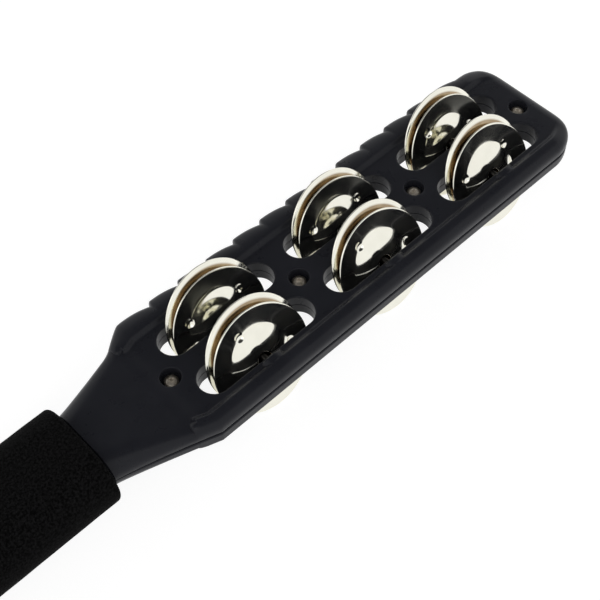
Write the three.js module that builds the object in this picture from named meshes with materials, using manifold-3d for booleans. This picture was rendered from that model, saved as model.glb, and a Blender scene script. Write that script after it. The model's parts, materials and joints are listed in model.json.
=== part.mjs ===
// Jingle stick: two moulded half shells screwed together, six pairs of jingles on pins
// between them, a scraper edge along one side and a foam sleeve on the handle.
// Millimetres, +X from handle to tip, +Y towards the scraper edge, +Z up.
// While it is built, x = 0 is the first screw and z = 0 is the plane where the shells meet.

import * as THREE from 'three';
import { mergeVertices } from 'three/addons/utils/BufferGeometryUtils.js';
import Module from 'manifold-3d';

// Head plate
const COLUMNS = 3;
const COLUMN_PITCH = 51;
const ROW_SPACING = 18;
const SLOT_LENGTH = 43.5;
const SLOT_WIDTH = 10.8;
const PLATE_THICKNESS = 8.2;
const SLOT_TO_RAIL = 2.6;
const TIP_OVERHANG = 8.2;
const TIP_CORNER_RADIUS = 13.5;
const SCRAPER_CORNER_RADIUS = 10;
const TIP_EDGE_ROUND = 5;
const TIP_EDGE_TURN = THREE.MathUtils.degToRad(80);
const PARTING_GAP = 0.3;
const PARTING_BEVEL = 0.35;

// Raised rails along both long edges
const RAIL_HEIGHT = 1.5;
const RAIL_SLOPE = 0.9;
const EDGE_ROUND = 4.5;
const TOP_EDGE_LAND = 1;
const BOTTOM_EDGE_LAND = 2.9;
const RAIL_NOSE_LENGTH = 2;
const RAIL_OVERHANG = 7;
const RECESS_RAMP = 3;

// Scraper edge
const SCRAPER_STANDOUT = 1.6;
const TOOTH_DEPTH = 1.8;
const TOOTH_PITCH = 11.3;
const TOOTH_COUNT = 12;
const TOOTH_RISE_SHARE = 0.12;
const TOOTH_FALL_POWER = 2.4;
const SCRAPER_START = 11.6;
const SCRAPER_LEAD = 12;

// Neck and handle core
const NECK_LENGTH = 24;
const NECK_THICKNESS = 9.6;
const NECK_FLARE_POWER = 1.15;
const CORE_WIDTH = 24.6;
const CORE_THICKNESS = 13;
const CORE_WALL = 2.2;
const SHOULDER = 0.7;
const BUTT_LENGTH = 3.4;
const BUTT_ROUND = 3;

// Foam grip sleeve
const GRIP_LENGTH = 112;
const GRIP_WALL = 4.5;
const GRIP_EDGE_ROUND = 1.5;

// Jingles: a dome with a steep shoulder, a flat valley ring and a brim that flares outwards
const JINGLE_DIAMETER = 35;
const JINGLE_SHEET = 0.5;
const JINGLE_HOLE = 5;
const DOME_DIAMETER = 22;
const DOME_RISE = 2.2;
const DOME_POWER = 3;
const SHOULDER_POWER = 18;
const VALLEY_DIAMETER = 22.5;
const BRIM_RISE = 0.95;
const BRIM_POWER = 1.6;
const PAIR_GAP = 0.3;
const LEAN_RIGHT = THREE.MathUtils.degToRad(27);
const LEAN_LEFT = THREE.MathUtils.degToRad(23.5);
const PAIR_SHIFT_RIGHT = -0.3;
const PAIR_SHIFT_LEFT = 0.1;

// Pins and the bosses over their ends
const PIN_DIAMETER = 2;
const PIN_SEAT = 2.4;
const BOSS_WIDTH = 7.5;
const BOSS_HEIGHT = 1.8;
const BOSS_SETBACK = 0.7;

// Screws and their wells
const WELL_DIAMETER = 6.4;
const WELL_FLOOR = 0.9;
const SCREW_HEAD_DIAMETER = 4.4;
const SCREW_HEAD_HEIGHT = 1;
const SCREW_SHANK_DIAMETER = 2.6;
const SCREW_LENGTH = 3.4;
const SCREW_TIP_CHAMFER = 0.5;

const FIT = 0.3;

// Facets
const EDGE_STEPS = 4;
const END_STEPS = 3;
const NECK_STEPS = 3;
const TOOTH_FALL_MARKS = [0.45, 0.75];
const JINGLE_SEGMENTS = 22;
const ROUND_SEGMENTS = 12;
const ARC_SEGMENTS = 7;
const BOSS_SEGMENTS = 24;
const DOME_MARK = 0.5;
const BRIM_MARK = 0.5;
const LEAST_STATION_STEP = 0.17;
const OVERCUT = 2;

// Values worked out from the sizes above
const plateHalf = PLATE_THICKNESS / 2;
const partingHalf = PARTING_GAP / 2;
const railTop = plateHalf + RAIL_HEIGHT;
const railFoot = ROW_SPACING / 2 + SLOT_WIDTH / 2 + SLOT_TO_RAIL;
const headHalfWidth = railFoot + RAIL_SLOPE + EDGE_ROUND;
const tipX = COLUMNS * COLUMN_PITCH + TIP_OVERHANG;
const railNoseX = -RAIL_OVERHANG;
const railFullX = railNoseX + RAIL_NOSE_LENGTH;
const recessX = railFullX + RECESS_RAMP;
const gripFrontX = railNoseX - NECK_LENGTH;
const coreFrontX = gripFrontX - SHOULDER;
const gripBackX = coreFrontX - FIT - GRIP_LENGTH;
const buttX = gripBackX - BUTT_LENGTH;
const coreHalfWidth = CORE_WIDTH / 2;
const coreHalf = CORE_THICKNESS / 2;
const neckHalf = NECK_THICKNESS / 2;
const wellFloorZ = partingHalf + WELL_FLOOR;
const pinLength = SLOT_WIDTH + 2 * PIN_SEAT;
const slotCentres = Array.from({ length: COLUMNS }, (_, i) => (i + 0.5) * COLUMN_PITCH);
const screwCentres = Array.from({ length: COLUMNS + 1 }, (_, i) => i * COLUMN_PITCH);
const ROWS = [
  { side: 'right', y: -ROW_SPACING / 2, lean: LEAN_RIGHT, shift: PAIR_SHIFT_RIGHT },
  { side: 'left', y: ROW_SPACING / 2, lean: LEAN_LEFT, shift: PAIR_SHIFT_LEFT },
];

const blackPlastic = new THREE.MeshStandardMaterial({ color: 0x24262a, roughness: 0.42, metalness: 0 });
const nickel = new THREE.MeshStandardMaterial({ color: 0xd9d4c6, roughness: 0.12, metalness: 1 });
const steel = new THREE.MeshStandardMaterial({ color: 0xb9b2a4, roughness: 0.3, metalness: 1 });
const darkSteel = new THREE.MeshStandardMaterial({ color: 0x2b2a29, roughness: 0.45, metalness: 1 });
const foam = new THREE.MeshStandardMaterial({ color: 0x141414, roughness: 0.95, metalness: 0 });

const wasm = await Module();
wasm.setup();

const clamp01 = (t) => THREE.MathUtils.clamp(t, 0, 1);
const mix = THREE.MathUtils.lerp;
const share = (x, from, to) => clamp01((x - from) / (to - from));
const steps = (count) => Array.from({ length: count + 1 }, (_, i) => i / count);

// Closed solid of a geometry, without triangles that have collapsed to a line
function toSolid(geometry) {
  const bare = geometry.clone();
  bare.deleteAttribute('normal');
  bare.deleteAttribute('uv');
  const merged = mergeVertices(bare);
  const index = merged.index.array;
  const triangles = [];
  for (let i = 0; i < index.length; i += 3) {
    const corners = index.slice(i, i + 3);
    if (new Set(corners).size === 3) triangles.push(...corners);
  }
  return new wasm.Manifold(new wasm.Mesh({
    numProp: 3,
    vertProperties: merged.attributes.position.array,
    triVerts: Uint32Array.from(triangles),
  }));
}

function toGeometry(solid) {
  const { vertProperties, triVerts } = solid.getMesh();
  const geometry = new THREE.BufferGeometry();
  geometry.setAttribute('position', new THREE.BufferAttribute(vertProperties, 3));
  geometry.setIndex(new THREE.BufferAttribute(triVerts, 1));
  geometry.computeVertexNormals();
  return geometry;
}

// Skin over a row of rings with equal point counts, closed by a flat cap at each end.
function loft(rings) {
  const size = rings[0].length;
  const positions = rings.flat().flatMap((point) => point.toArray());
  const index = [];
  for (let ring = 0; ring + 1 < rings.length; ring += 1) {
    for (let i = 0; i < size; i += 1) {
      const a = ring * size + i;
      const b = ring * size + (i + 1) % size;
      index.push(a, b, a + size, b, b + size, a + size);
    }
  }
  const flat = (ring) => ring.map((point) => new THREE.Vector2(point.y, point.z));
  const last = (rings.length - 1) * size;
  for (const [a, b, c] of THREE.ShapeUtils.triangulateShape(flat(rings[0]), [])) {
    index.push(c, b, a);
  }
  for (const [a, b, c] of THREE.ShapeUtils.triangulateShape(flat(rings.at(-1)), [])) {
    index.push(last + a, last + b, last + c);
  }
  const geometry = new THREE.BufferGeometry();
  geometry.setAttribute('position', new THREE.Float32BufferAttribute(positions, 3));
  geometry.setIndex(index);
  return geometry;
}

function stadium(halfLength, radius) {
  const shape = new THREE.Shape();
  const straight = halfLength - radius;
  shape.absarc(straight, 0, radius, -Math.PI / 2, Math.PI / 2, false);
  shape.absarc(-straight, 0, radius, Math.PI / 2, 1.5 * Math.PI, false);
  shape.closePath();
  return shape;
}

// Upright cylinder from one height to another
function upright(diameter, fromZ, toZ) {
  const height = toZ - fromZ;
  const geometry = new THREE.CylinderGeometry(diameter / 2, diameter / 2, height, ROUND_SEGMENTS);
  geometry.rotateX(Math.PI / 2);
  geometry.translate(0, 0, fromZ + height / 2);
  return geometry;
}

// Height of one scraper tooth over its pitch: a steep rise, then a rounded fall to the next notch.
function toothProfile(u) {
  if (u < TOOTH_RISE_SHARE) return Math.sin((u / TOOTH_RISE_SHARE) * Math.PI / 2);
  return 1 - share(u, TOOTH_RISE_SHARE, 1) ** TOOTH_FALL_POWER;
}

// How far the scraper edge stands out beyond the smooth edge at x
const scraperEndX = SCRAPER_START + TOOTH_COUNT * TOOTH_PITCH;
const firstToothTopX = SCRAPER_START - TOOTH_PITCH * (1 - TOOTH_RISE_SHARE);
function scraperStandout(x) {
  const lead = THREE.MathUtils.smoothstep(x, firstToothTopX - SCRAPER_LEAD, firstToothTopX);
  if (x <= firstToothTopX) return lead * (SCRAPER_STANDOUT + TOOTH_DEPTH);
  if (x >= scraperEndX) return SCRAPER_STANDOUT;
  const u = (x - SCRAPER_START) / TOOTH_PITCH;
  return SCRAPER_STANDOUT + TOOTH_DEPTH * toothProfile(u - Math.floor(u));
}

// Half width of the body without the scraper and the butt's rounding, for a side with the given tip corner
function halfWidth(x, corner) {
  if (x <= coreFrontX) return coreHalfWidth;
  const flare = share(x, gripFrontX, 0) ** NECK_FLARE_POWER;
  const width = mix(coreHalfWidth + SHOULDER, headHalfWidth, flare);
  const intoCorner = Math.max(0, x - (tipX - corner));
  return width - corner + Math.sqrt(corner ** 2 - intoCorner ** 2);
}

// Height of the handle and neck surface, and of the head's recessed plate, above the parting plane
function plateHeight(x) {
  if (x <= coreFrontX) return coreHalf;
  const neck = mix(coreHalf + SHOULDER, neckHalf, share(x, gripFrontX, railNoseX));
  return mix(neck, plateHalf, share(x, railFullX, recessX));
}

// Height of the outer edge: the neck's own height, then the rail with its blunt nose and faded end
function edgeHeight(x) {
  const nose = Math.sqrt(1 - (1 - share(x, railNoseX, railFullX)) ** 2);
  const fade = 1 - THREE.MathUtils.smoothstep(x, tipX - TIP_CORNER_RADIUS, tipX - TIP_EDGE_ROUND / 2);
  return mix(plateHeight(x), railTop, nose * fade);
}

// Width of the rounded edge: a half round on the handle core, narrower on the head
function edgeRound(x) {
  if (x <= coreFrontX) return coreHalf;
  return mix(coreHalf + SHOULDER, EDGE_ROUND, share(x, gripFrontX, railFullX));
}

// Share of the edge's height that stands upright below its round: none on the handle core
function landShare(x, half) {
  const land = half > 0 ? TOP_EDGE_LAND : BOTTOM_EDGE_LAND;
  return land / (railTop - partingHalf - PARTING_BEVEL) * share(x, gripFrontX, railFullX);
}

// One half of the body's cross-section at x, from the smooth edge over the top to the scraper edge.
// The butt's rounding draws it in by inset, and the tip's rounding scales its height.
function halfSection(x, inset, heightScale, half) {
  const top = (edgeHeight(x) - inset) * heightScale;
  const plate = (plateHeight(x) - inset) * heightScale;
  const foot = partingHalf + PARTING_BEVEL;
  const base = mix(foot, top, landShare(x, half));
  const round = edgeRound(x);
  const side = (standout, corner) => {
    const outer = halfWidth(x, corner) + standout - inset;
    const crest = halfWidth(x, corner) - round;
    const edge = steps(EDGE_STEPS).map((t) => {
      const angle = t * Math.PI / 2;
      return [crest + (outer - crest) * Math.cos(angle), base + (top - base) * Math.sin(angle)];
    });
    return [[outer - PARTING_BEVEL, partingHalf], [outer, foot], ...edge, [crest - RAIL_SLOPE, plate]];
  };
  const smooth = side(0, TIP_CORNER_RADIUS).map(([y, z]) => new THREE.Vector3(x, -y, half * z));
  const scraper = side(scraperStandout(x), SCRAPER_CORNER_RADIUS)
    .map(([y, z]) => new THREE.Vector3(x, y, half * z));
  const section = [...smooth, ...scraper.reverse()];
  return half > 0 ? section.reverse() : section;
}

// Stations along the body. The ends follow a quarter round, the scraper a few points a tooth.
function stations() {
  const butt = steps(END_STEPS).map((t) => t * Math.PI / 2).map((angle) => ({
    x: buttX + BUTT_ROUND * (1 - Math.sin(angle)),
    inset: BUTT_ROUND * (1 - Math.cos(angle)),
  }));
  const neck = steps(NECK_STEPS).map((t) => ({ x: mix(gripFrontX, railNoseX, t) }));
  const nose = steps(END_STEPS).map((t) => ({ x: railFullX - RAIL_NOSE_LENGTH * (1 - t) ** 2 }));
  const lead = [recessX, firstToothTopX].map((x) => ({ x }));
  const marks = [0, TOOTH_RISE_SHARE, ...TOOTH_FALL_MARKS];
  const firstFall = TOOTH_FALL_MARKS.map((u) => ({ x: SCRAPER_START - TOOTH_PITCH * (1 - u) }));
  const teeth = Array.from({ length: TOOTH_COUNT }, (_, tooth) => marks.map((u) => (
    { x: SCRAPER_START + (tooth + u) * TOOTH_PITCH }
  ))).flat();
  const corner = steps(END_STEPS).map((t) => ({
    x: mix(Math.max(scraperEndX, tipX - TIP_CORNER_RADIUS), tipX - TIP_EDGE_ROUND, t),
  }));
  const tip = steps(END_STEPS).slice(1).map((t) => t * TIP_EDGE_TURN).map((angle) => ({
    x: tipX - TIP_EDGE_ROUND * (1 - Math.sin(angle)),
    heightScale: Math.cos(angle),
  }));
  const all = [...butt, { x: coreFrontX }, ...neck, ...nose, ...lead, ...firstFall, ...teeth,
    { x: scraperEndX }, ...corner, ...tip];
  all.sort((a, b) => a.x - b.x);
  return all.filter((station, i) => i === 0 || station.x - all[i - 1].x > LEAST_STATION_STEP);
}

function halfBody(half) {
  return toSolid(loft(stations().map(({ x, inset = 0, heightScale = 1 }) => (
    halfSection(x, inset, heightScale, half)
  ))));
}

const alongX = new THREE.Matrix4().makeBasis(
  new THREE.Vector3(0, 1, 0),
  new THREE.Vector3(0, 0, 1),
  new THREE.Vector3(1, 0, 0),
);

// Hollow of the handle core, shared by the two shells
function coreHollowCut() {
  const back = buttX + BUTT_ROUND + CORE_WALL;
  const hollow = stadium(coreHalfWidth - CORE_WALL, coreHalf - CORE_WALL);
  const geometry = new THREE.ExtrudeGeometry(hollow, {
    depth: coreFrontX - back, bevelEnabled: false, curveSegments: ARC_SEGMENTS,
  });
  geometry.applyMatrix4(alongX);
  geometry.translate(back, 0, 0);
  return toSolid(geometry);
}

function slotCut(x, y) {
  const reach = railTop + OVERCUT;
  const geometry = new THREE.ExtrudeGeometry(stadium(SLOT_LENGTH / 2, SLOT_WIDTH / 2), {
    depth: 2 * reach, bevelEnabled: false, curveSegments: ARC_SEGMENTS,
  });
  geometry.translate(x, y, -reach);
  return toSolid(geometry);
}

// Seat for a pin, between the two shells
function pinSeatCut(x, y) {
  const radius = PIN_DIAMETER / 2 + FIT;
  const geometry = new THREE.CylinderGeometry(radius, radius, pinLength + 2 * FIT, ROUND_SEGMENTS);
  geometry.translate(x, y, 0);
  return toSolid(geometry);
}

// Low half-round boss over a pin's outer end, from the slot's edge into the rail
function pinBoss(x, y, half) {
  const radius = (BOSS_WIDTH ** 2 / 4 + BOSS_HEIGHT ** 2) / (2 * BOSS_HEIGHT);
  const from = Math.abs(y) + SLOT_WIDTH / 2 + BOSS_SETBACK;
  const length = railFoot + RAIL_SLOPE - from;
  const middle = Math.sign(y) * (from + length / 2);
  const geometry = new THREE.CylinderGeometry(radius, radius, length, BOSS_SEGMENTS);
  geometry.translate(x, middle, half * (plateHalf + BOSS_HEIGHT - radius));
  const above = new THREE.BoxGeometry(BOSS_WIDTH, length, plateHalf);
  above.translate(x, middle, half * plateHalf);
  return toSolid(geometry).intersect(toSolid(above));
}

function shell(half) {
  let body = halfBody(half).subtract(coreHollowCut());
  for (const x of slotCentres) {
    for (const { y } of ROWS) {
      body = body.add(pinBoss(x, y, half)).subtract(slotCut(x, y)).subtract(pinSeatCut(x, y));
    }
  }
  for (const x of screwCentres) {
    const shankHole = upright(SCREW_SHANK_DIAMETER + 2 * FIT, -SCREW_LENGTH, wellFloorZ + OVERCUT);
    shankHole.translate(x, 0, 0);
    body = body.subtract(toSolid(shankHole));
    if (half > 0) {
      const well = upright(WELL_DIAMETER, wellFloorZ, railTop + OVERCUT);
      well.translate(x, 0, 0);
      body = body.subtract(toSolid(well));
    }
  }
  return toGeometry(body);
}

function screwGeometry() {
  const shank = SCREW_SHANK_DIAMETER / 2;
  const head = SCREW_HEAD_DIAMETER / 2;
  const underHead = wellFloorZ + FIT;
  const point = FIT - SCREW_LENGTH;
  const profile = [
    [0, point],
    [shank - SCREW_TIP_CHAMFER, point],
    [shank, point + SCREW_TIP_CHAMFER],
    [shank, underHead],
    [head, underHead],
    [head, underHead + SCREW_HEAD_HEIGHT / 2],
    [head * Math.cos(Math.PI / 4), underHead + SCREW_HEAD_HEIGHT],
    [0, underHead + SCREW_HEAD_HEIGHT],
  ].map(([r, z]) => new THREE.Vector2(r, z));
  const geometry = new THREE.LatheGeometry(profile, ROUND_SEGMENTS);
  geometry.rotateX(Math.PI / 2);
  return geometry;
}

// Middle of the jingle's sheet, measured along its axis from the dome's top
function sheetHeight(r) {
  const t = clamp01(r / (DOME_DIAMETER / 2));
  const fall = SHOULDER_POWER * t ** DOME_POWER - DOME_POWER * t ** SHOULDER_POWER;
  const flare = share(r, VALLEY_DIAMETER / 2, JINGLE_DIAMETER / 2) ** BRIM_POWER;
  return BRIM_RISE * flare - DOME_RISE * fall / (SHOULDER_POWER - DOME_POWER);
}

// Revolved sheet about local +Y, which points away from the jingle's partner
function jingleGeometry() {
  const hole = JINGLE_HOLE / 2;
  const dome = DOME_DIAMETER / 2;
  const valley = VALLEY_DIAMETER / 2;
  const rim = JINGLE_DIAMETER / 2;
  const radii = [hole, mix(hole, dome, DOME_MARK), (dome + valley) / 2, mix(valley, rim, BRIM_MARK), rim];
  const face = (offset) => radii.map((r) => new THREE.Vector2(r, sheetHeight(r) + offset));
  const profile = [...face(-JINGLE_SHEET / 2), ...face(JINGLE_SHEET / 2).reverse()];
  profile.push(profile[0].clone());
  return new THREE.LatheGeometry(profile, JINGLE_SEGMENTS, Math.PI / JINGLE_SEGMENTS);
}

// Sleeve with the core's half-round sides, extruded along the handle
function gripGeometry() {
  const outline = stadium(coreHalfWidth + FIT + GRIP_WALL, coreHalf + FIT + GRIP_WALL);
  outline.holes.push(stadium(coreHalfWidth + FIT, coreHalf + FIT));
  const geometry = new THREE.ExtrudeGeometry(outline, {
    depth: GRIP_LENGTH - 2 * GRIP_EDGE_ROUND,
    bevelThickness: GRIP_EDGE_ROUND,
    bevelSize: GRIP_EDGE_ROUND,
    bevelOffset: -GRIP_EDGE_ROUND,
    bevelSegments: 2,
    curveSegments: ARC_SEGMENTS,
  });
  geometry.applyMatrix4(alongX);
  return geometry;
}

const stick = new THREE.Group();

function add(name, geometry, material, position = [0, 0, 0]) {
  const mesh = new THREE.Mesh(geometry, material);
  mesh.name = name;
  mesh.position.set(...position);
  stick.add(mesh);
  return mesh;
}

add('top_shell', shell(1), blackPlastic);
add('bottom_shell', shell(-1), blackPlastic);
add('foam_grip', gripGeometry(), foam, [gripBackX + GRIP_EDGE_ROUND, 0, 0]);

screwCentres.forEach((x, i) => {
  add(`screw_${i + 1}`, screwGeometry(), steel, [x, 0, 0]);
});

// Each pair hangs on its pin with the domes outwards, tops leaning towards the scraper edge.
for (const { side, y, lean, shift } of ROWS) {
  slotCentres.forEach((x, i) => {
    const pin = new THREE.CylinderGeometry(PIN_DIAMETER / 2, PIN_DIAMETER / 2, pinLength, ROUND_SEGMENTS);
    add(`pin_${side}_${i + 1}`, pin, darkSteel, [x, y, 0]);
    const along = (PAIR_GAP / 2 + JINGLE_SHEET / 2 + DOME_RISE) / Math.cos(lean);
    const leanedHole = JINGLE_HOLE / 2 * Math.cos(lean) - JINGLE_SHEET / 2 * Math.sin(lean);
    const hang = leanedHole - PIN_DIAMETER / 2 - FIT;
    for (const facing of [-1, 1]) {
      const place = facing === Math.sign(y) ? 'outer' : 'inner';
      const name = `jingle_${side}_${i + 1}_${place}`;
      const jingle = add(name, jingleGeometry(), nickel, [x, y + shift + facing * along, -hang]);
      jingle.rotation.x = facing > 0 ? -lean : Math.PI - lean;
    }
  });
}

// The origin is the middle of the box's underside, where the lowest jingle rims touch the ground.
const box = new THREE.Box3().setFromObject(stick, true);
const middle = box.getCenter(new THREE.Vector3());
stick.position.set(-middle.x, -middle.y, -box.min.z);

export default stick;
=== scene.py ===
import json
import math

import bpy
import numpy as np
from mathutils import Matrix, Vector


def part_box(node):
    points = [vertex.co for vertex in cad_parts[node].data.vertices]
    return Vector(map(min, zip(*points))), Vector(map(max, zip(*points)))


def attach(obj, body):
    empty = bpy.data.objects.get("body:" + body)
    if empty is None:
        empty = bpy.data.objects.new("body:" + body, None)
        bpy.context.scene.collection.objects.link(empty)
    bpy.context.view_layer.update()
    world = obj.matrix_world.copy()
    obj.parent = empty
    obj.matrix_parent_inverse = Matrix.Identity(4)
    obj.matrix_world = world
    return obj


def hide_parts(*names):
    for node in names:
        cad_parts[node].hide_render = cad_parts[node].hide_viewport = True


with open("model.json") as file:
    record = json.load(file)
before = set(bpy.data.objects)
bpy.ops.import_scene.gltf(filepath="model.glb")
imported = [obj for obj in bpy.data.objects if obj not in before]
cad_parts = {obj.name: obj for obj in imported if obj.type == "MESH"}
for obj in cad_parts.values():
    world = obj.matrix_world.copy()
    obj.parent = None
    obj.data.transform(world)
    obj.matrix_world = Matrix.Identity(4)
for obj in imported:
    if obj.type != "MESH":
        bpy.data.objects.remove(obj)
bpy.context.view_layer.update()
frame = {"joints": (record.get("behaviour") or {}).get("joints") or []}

# Looks of a jingle stick: two moulded half shells held by four screws, six pairs of nickel-plated
# jingles on steel pins, a scraper edge along one side and a foam sleeve on the handle.
# Every new piece is a numpy surface. Points are worked out in metres from the stick's own origin:
# x from the first screw towards the tip, y towards the scraper edge, z up from the parting plane.

MM = 0.001


def box_middle(node):
    """Middle of a CAD node's box in the part's frame."""
    low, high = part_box(node)
    return (np.array(low) + np.array(high)) / 2


# Numbers of the repeated pieces, and places and sizes read from the frame
SCREW_COUNT = 4
SLOTS_PER_SIDE = 3
SCREW_NAMES = [f"screw_{number + 1}" for number in range(SCREW_COUNT)]
PIN_NAMES = [f"pin_{side}_{number + 1}" for side in ("right", "left") for number in range(SLOTS_PER_SIDE)]
ORIGIN = np.array([*box_middle("screw_1")[:2], box_middle("pin_right_1")[2]])
SCREW_X = np.array([box_middle(name)[0] - ORIGIN[0] for name in SCREW_NAMES])
PIN_PLACES = np.array([box_middle(name)[:2] - ORIGIN[:2] for name in PIN_NAMES])
PIN_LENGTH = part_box("pin_right_1")[1].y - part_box("pin_right_1")[0].y
GRIP_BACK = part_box("foam_grip")[0].x - ORIGIN[0]
GRIP_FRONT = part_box("foam_grip")[1].x - ORIGIN[0]
BUTT_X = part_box("top_shell")[0].x - ORIGIN[0]
SCREW_HEAD_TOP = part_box("screw_1")[1].z - ORIGIN[2]
SCREW_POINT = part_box("screw_1")[0].z - ORIGIN[2]

# Head plate and its rounded tip
SLOT_LENGTH = 43.5 * MM
SLOT_WIDTH = 10.8 * MM
SLOT_LIP = 0.45 * MM
PLATE_HALF = 4.1 * MM
TIP_X = 161.2 * MM
TIP_CORNER = 13.5 * MM
SCRAPER_CORNER = 10 * MM
TIP_EDGE = 5 * MM
TIP_TURN = math.radians(80)

# Groove along the parting line, whole where the edge's upright land takes a fifth of its height
PARTING_HALF = 0.15 * MM
PARTING_BEVEL = 0.35 * MM
GROOVE_HALF = 0.4 * MM
GROOVE_DEPTH = 1.2 * MM
GROOVE_BEAD = 0.5 * MM
GROOVE_PER_LAND = 5

# Raised rails along both long edges
RAIL_TOP = 5.6 * MM
RAIL_SLOPE = 1.6 * MM
RAIL_SOFTNESS = 0.3 * MM
SOFTNESS_SHARE = 0.1
RAIL_NOSE = -7 * MM
NOSE_RADIUS = 2.6 * MM
RAIL_FULL = RAIL_NOSE + NOSE_RADIUS
RECESS_START = -5.5 * MM
RECESS_END = -1 * MM
EDGE_ROUND = 4.5 * MM
CORE_EDGE_POWER = 2
EDGE_POWER = 2.5
TOP_EDGE_LAND = 1 * MM
BOTTOM_EDGE_LAND = 2.9 * MM
LEAST_LAND_SHARE = 0.004
HEAD_HALF_WIDTH = 22.4 * MM

# Scraper edge
SCRAPER_STANDOUT = 1.6 * MM
TOOTH_DEPTH = 1.8 * MM
TOOTH_PITCH = 11.3 * MM
TOOTH_COUNT = 12
TOOTH_RISE = 0.12
TOOTH_FALL_POWER = 2.4
SCRAPER_START = 11.6 * MM
SCRAPER_LEAD = 12 * MM
SCRAPER_END = SCRAPER_START + TOOTH_COUNT * TOOTH_PITCH
FIRST_TOOTH_TOP = SCRAPER_START - TOOTH_PITCH * (1 - TOOTH_RISE)

# Neck, handle core and butt
NECK_START = -31 * MM
NECK_HALF = 4.5 * MM
NECK_FLARE_POWER = 1.15
NECK_SHOULDER = 0.7 * MM
CORE_FRONT = -31.7 * MM
CORE_HALF_WIDTH = 12.3 * MM
CORE_HALF = 6.5 * MM
CORE_WALL = 2.2 * MM
BUTT_ROUND = 3 * MM

# Pins, bosses and wells
PIN_RADIUS = 1 * MM
PIN_CHAMFER = 0.25 * MM
FIT = 0.3 * MM
BOSS_HALF_WIDTH = 3.75 * MM
BOSS_HEIGHT = 1.8 * MM
BOSS_SETBACK = 0.7 * MM
BOSS_END_ROUND = 0.8 * MM
BOSS_END = 18.6 * MM
WELL_RADIUS = 3.2 * MM
WELL_LIP = 0.35 * MM
WELL_FLOOR = 1.05 * MM

# Cutters: how far they pass the parting plane, and a lip's turn, reach and step, the last two in lip sizes
CUT_PAST_PARTING = PLATE_HALF / 4
LIP_TURN = math.radians(78)
LIP_REACH = 1.2
LIP_STEP = 0.12

# Screws: where no length is given, a share of the head's or the cross recess's size, or a power
SCREW_HEAD_RADIUS = 2.2 * MM
SCREW_HEAD_HEIGHT = 1 * MM
HEAD_DOME = 0.55
HEAD_DOME_POWER = 3.5
HEAD_SIDE_TOP = 0.4
HEAD_SIDE_FOOT = 0.08
HEAD_FOOT_RADIUS = 0.97
HEAD_MIDDLE = 0.02
SCREW_SHANK_RADIUS = 1.3 * MM
SCREW_TAPER = 0.5 * MM
SHANK_START = 0.05 * MM
THREAD_PITCH = 0.8 * MM
THREAD_DEPTH = 0.25 * MM
CROSS_ARM = 1 * MM
CROSS_ARM_FLOOR = 0.75
CROSS_HALF_WIDTH = 0.24 * MM
CROSS_WIDTH_FLOOR = 0.5
CROSS_DEPTH = 0.4 * MM
CROSS_CONE = 1.4

# Jingles
JINGLE_RADIUS = 17.37 * MM
JINGLE_HOLE = 2.5 * MM
JINGLE_SHEET_HALF = 0.25 * MM
DOME_RADIUS = 11 * MM
DOME_RISE = 2.2 * MM
DOME_POWER = 3
DOME_FOOT_POWER = 18
VALLEY_RADIUS = 11.25 * MM
BRIM_RISE = 0.95 * MM
BRIM_POWER = 1.6
DENT_COUNT = 3
DENT_RADIUS = 1.55 * MM
DENT_DEPTH = 0.5 * MM
DENT_MARGIN = 1.2
DENT_SHOW_THROUGH = 0.2
# Painted shade: a brown painted on the inner faces of each pair, within a radius and fading towards the rim,
# for the dim reflections between the two discs
PAINTED_SHADE_NAME = "painted_shade"
PAINTED_SHADE_WITHIN = 16 * MM
PAINTED_SHADE_FADE = 0.3 * MM
# How far each jingle has turned on its pin, seen from outside, in degrees
JINGLE_TURNS = {
    "jingle_right_1_outer": 110.5,
    "jingle_right_2_outer": 121,
    "jingle_right_3_outer": 155,
    "jingle_left_1_inner": 148,
    "jingle_left_2_inner": 149.5,
    "jingle_left_3_inner": 128,
    "jingle_right_1_inner": 80,
    "jingle_right_2_inner": 20,
    "jingle_right_3_inner": 100,
    "jingle_left_1_outer": 98,
    "jingle_left_2_outer": 5,
    "jingle_left_3_outer": 62,
}

# Foam sleeve, and its slow waves as turns along it, turns round it and a phase
SLEEVE_INNER_HALF = 12.6 * MM
SLEEVE_INNER_ROUND = 6.8 * MM
SLEEVE_WALL = 4.5 * MM
SLEEVE_EDGE = 1.5 * MM
SLEEVE_RIPPLE = 0.07 * MM
SLEEVE_WAVES = ((3, 2, 0), (7, -3, 1), (11, 5, 2))

# Points along each stretch of the shells' length
QUARTER_POINTS = 13
CORE_POINTS = 9
NECK_POINTS = 25
RECESS_POINTS = 9
LEAD_POINTS = 6
TOOTH_RISE_POINTS = 7
TOOTH_FALL_POINTS = 17
BOSS_POINTS = 13
END_RUN_POINTS = 10
TIP_CORNER_POINTS = 16
TIP_EDGE_POINTS = 20
LEAST_STATION_GAP = 0.04 * MM

# Points along each stretch of the shells' section, closer on the plate's outer share
BEAD_POINTS = 7
EDGE_POINTS = 25
SLOPE_POINTS = 10
PLATE_OUTER_SHARE = 0.16
PLATE_OUTER_POINTS = 10
PLATE_INNER_POINTS = 13

# Points along the other profiles, and steps round their circles and arcs
LIP_POINTS = 7
SLOT_ARC_STEPS = 40
CORE_ARC_STEPS = 24
SEAT_STEPS = 40
WELL_STEPS = 64
SHANK_HOLE_STEPS = 32
PIN_STEPS = 48
SCREW_STEPS = 96
HEAD_POINTS = 34
SHANK_POINTS = 60
JINGLE_STEPS = 288
DOME_POINTS = 24
VALLEY_POINTS = 29
BRIM_POINTS = 14
RIM_POINTS = 9
SLEEVE_ARC_STEPS = 48
SLEEVE_STRAIGHT_POINTS = 9
SLEEVE_EDGE_POINTS = 9
SLEEVE_END_POINTS = 5
SLEEVE_INNER_POINTS = 20
SLEEVE_OUTER_POINTS = 90

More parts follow.
